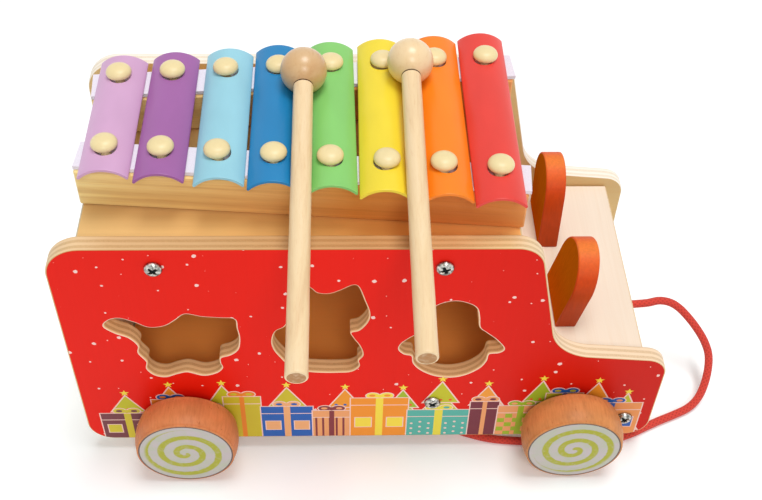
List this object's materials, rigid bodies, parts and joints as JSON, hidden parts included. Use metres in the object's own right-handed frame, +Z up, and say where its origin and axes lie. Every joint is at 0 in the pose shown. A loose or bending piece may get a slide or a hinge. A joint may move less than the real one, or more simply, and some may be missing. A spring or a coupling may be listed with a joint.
{
  "type": "xylophone pull truck",
  "caption": "Wooden pull-along truck with a xylophone and mallets on its roof, shape-sorting holes in its sides, turned wheels and a pull cord.",
  "frame": {"origin": "on the floor, under the middle of the truck with its mallets, the pull cord left out", "axes": "+X towards the bonnet, +Y towards the truck's left side, away from the mallets' free ends, +Z up"},
  "size_m": [0.346, 0.2433, 0.1999],
  "materials": {
    "printed_ply": "birch plywood, red and pictures printed on the outer face under clear lacquer, bare rim",
    "ply": "bare birch plywood, clear lacquer",
    "beech": "bare hardwood, planed",
    "beech_pale": "turned hardwood, clear lacquer",
    "wheel_wood": "turned hardwood with a tinted lacquer, printed outer face",
    "orange_paint": "wood painted orange, satin",
    "felt": "pale felt strip",
    "zinc": "bright zinc plate",
    "bar_lilac": "satin powder coat on arched sheet steel",
    "bar_purple": "satin powder coat on arched sheet steel",
    "bar_sky": "satin powder coat on arched sheet steel",
    "bar_blue": "satin powder coat on arched sheet steel",
    "bar_green": "satin powder coat on arched sheet steel",
    "bar_yellow": "satin powder coat on arched sheet steel",
    "bar_orange": "satin powder coat on arched sheet steel",
    "bar_red": "satin powder coat on arched sheet steel",
    "cord": "braided red cord"
  },
  "bodies": {
    "truck": {"side_panel_right": "printed_ply", "side_panel_left": "printed_ply", "roof_board": "ply", "windscreen_board": "ply", "bonnet_board": "ply", "front_board": "ply", "rear_board": "ply", "floor_board": "ply", "screw_roof_rear_right": "zinc", "screw_roof_front_right": "zinc", "screw_floor_rear_right": "zinc", "screw_floor_front_right": "zinc", "screw_nose_right": "zinc", "screw_roof_rear_left": "zinc", "screw_roof_front_left": "zinc", "screw_floor_rear_left": "zinc", "screw_floor_front_left": "zinc", "screw_nose_left": "zinc", "bonnet_ear_right": "orange_paint", "bonnet_ear_left": "orange_paint", "xylophone_rail_right": "beech", "felt_strip_right": "felt", "xylophone_rail_left": "beech", "felt_strip_left": "felt", "bar_1_lilac": "bar_lilac", "bar_2_purple": "bar_purple", "bar_3_sky": "bar_sky", "bar_4_blue": "bar_blue", "bar_5_green": "bar_green", "bar_6_yellow": "bar_yellow", "bar_7_orange": "bar_orange", "bar_8_red": "bar_red", "bar_peg_1_right": "beech_pale", "bar_peg_1_left": "beech_pale", "bar_peg_2_right": "beech_pale", "bar_peg_2_left": "beech_pale", "bar_peg_3_right": "beech_pale", "bar_peg_3_left": "beech_pale", "bar_peg_4_right": "beech_pale", "bar_peg_4_left": "beech_pale", "bar_peg_5_right": "beech_pale", "bar_peg_5_left": "beech_pale", "bar_peg_6_right": "beech_pale", "bar_peg_6_left": "beech_pale", "bar_peg_7_right": "beech_pale", "bar_peg_7_left": "beech_pale", "bar_peg_8_right": "beech_pale", "bar_peg_8_left": "beech_pale", "pull_cord_run": "cord", "pull_cord_coil": "cord", "cord_end_knot": "cord", "cord_stop_knot": "cord"},
    "rear_wheels": {"axle_rear": "beech_pale", "wheel_rear_right": "wheel_wood", "wheel_rear_left": "wheel_wood"},
    "front_wheels": {"axle_front": "beech_pale", "wheel_front_right": "wheel_wood", "wheel_front_left": "wheel_wood"},
    "rear_mallet": {"mallet_rear": "beech_pale"},
    "front_mallet": {"mallet_front": "beech_pale"}
  },
  "joints": [
    {"name": "rear_axle_turn", "type": "hinge", "parent": "truck", "child": "rear_wheels", "pos_m": [-0.0962, 0.02964, 0.0266], "axis": [0, 1, 0], "continuous": true},
    {"name": "front_axle_turn", "type": "hinge", "parent": "truck", "child": "front_wheels", "pos_m": [0.1055, 0.02964, 0.0266], "axis": [0, 1, 0], "continuous": true},
    {"name": "rear_mallet_lift", "type": "slide", "parent": "truck", "child": "rear_mallet", "axis": [0, 0, 1], "range_m": [0, 0.08]},
    {"name": "front_mallet_lift", "type": "slide", "parent": "truck", "child": "front_mallet", "axis": [0, 0, 1], "range_m": [0, 0.08]}
  ]
}
